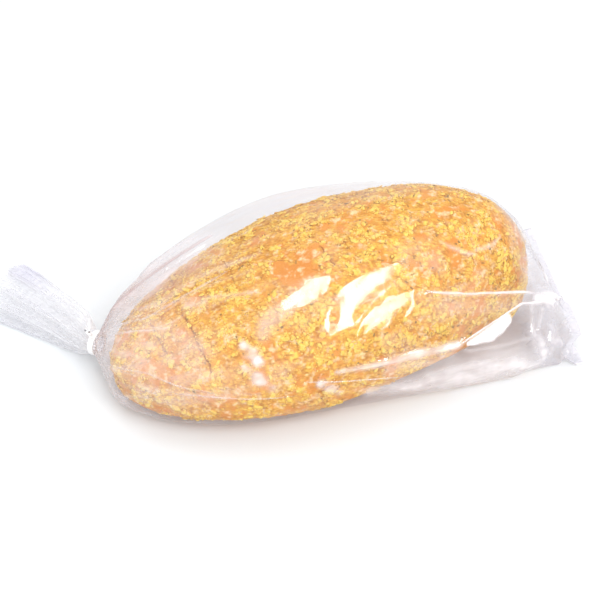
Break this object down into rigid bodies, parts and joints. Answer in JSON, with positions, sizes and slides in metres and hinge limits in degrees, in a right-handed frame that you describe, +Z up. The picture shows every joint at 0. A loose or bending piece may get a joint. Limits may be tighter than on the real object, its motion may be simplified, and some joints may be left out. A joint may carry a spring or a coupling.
{
  "type": "loaf in bread bag",
  "caption": "Oval grit-topped loaf in a clear side-fold bread bag, gathered and tied at one end, with a fanned tail of film and a flat welded end.",
  "frame": {"origin": "middle of the whole pack's bounding box in plan, on the surface that it lies on", "axes": "+X along the loaf from the tied neck to the welded end, +Y to the back, the side that the tail leans to, +Z up"},
  "size_m": [0.36, 0.18, 0.1027],
  "materials": {
    "film": "clear glossy polypropylene film",
    "crust": "baked crust, dry and matt",
    "grit": "toasted maize grits, dry and matt",
    "tie": "white coated twist tie"
  },
  "bodies": {
    "root": {"bread_bag": "film", "neck_tie": "tie"}
  },
  "joints": []
}
